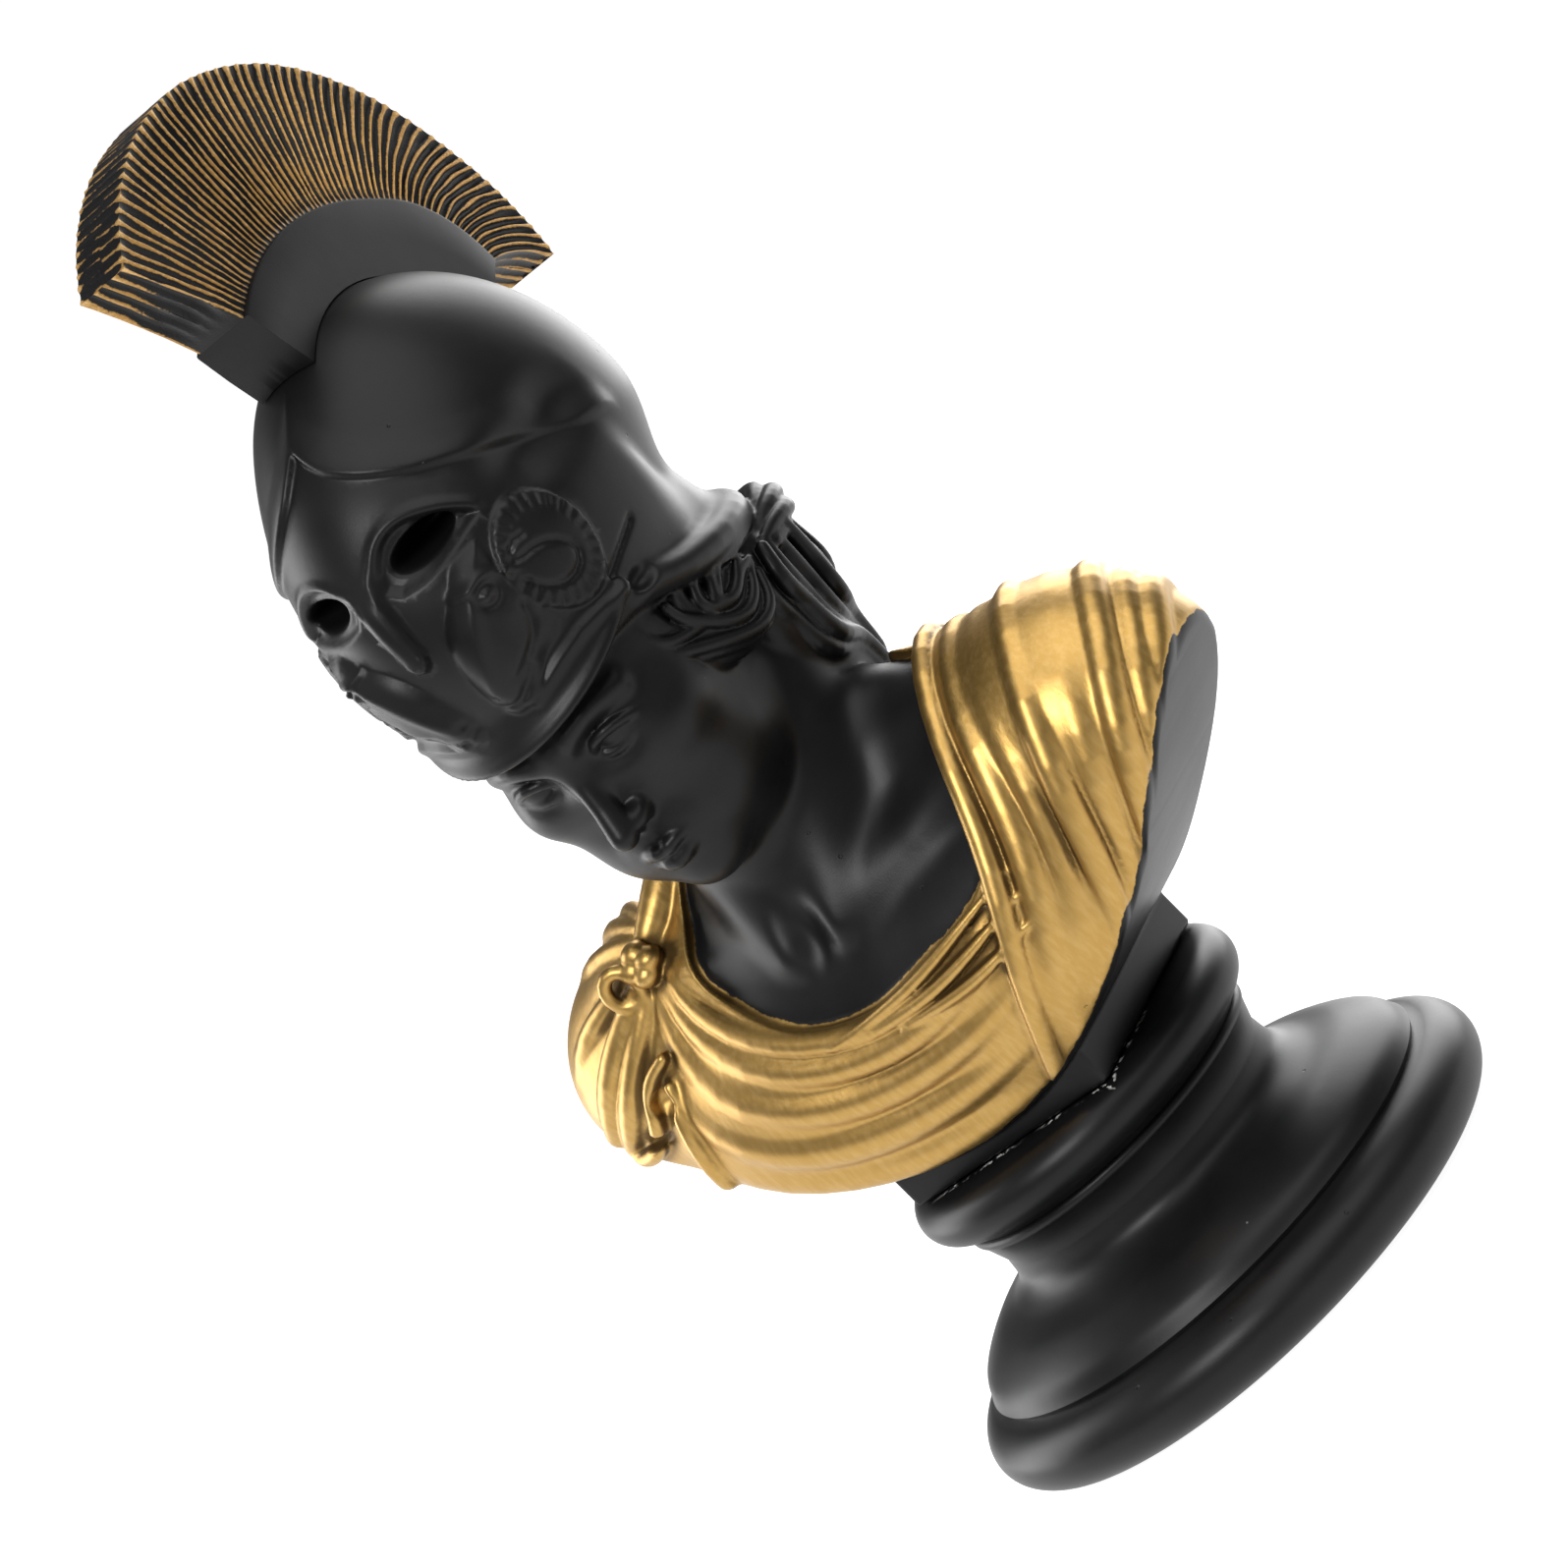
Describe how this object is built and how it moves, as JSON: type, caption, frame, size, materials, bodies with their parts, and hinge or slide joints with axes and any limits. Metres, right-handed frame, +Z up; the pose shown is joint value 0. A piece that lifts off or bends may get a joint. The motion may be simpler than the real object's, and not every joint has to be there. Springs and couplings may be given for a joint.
{
  "type": "helmeted warrior bust",
  "caption": "Desk bust of a helmeted warrior in draped cloth, with a tall fan crest, on a round turned socle.",
  "frame": {"origin": "centre of the socle's flat underside, on the surface that it stands on", "axes": "+Z up, -Y the way the bust faces, +X towards the bust's own left shoulder"},
  "size_m": [0.1714, 0.1229, 0.2962],
  "materials": {
    "black_paint": "satin black paint over cast resin, with antique gold paint on the cloth",
    "bronze_paint": "bronze paint brushed dry over the ridges of black cast resin"
  },
  "bodies": {
    "root": {"bust": "black_paint", "crest": "bronze_paint", "socle": "black_paint"}
  },
  "joints": []
}
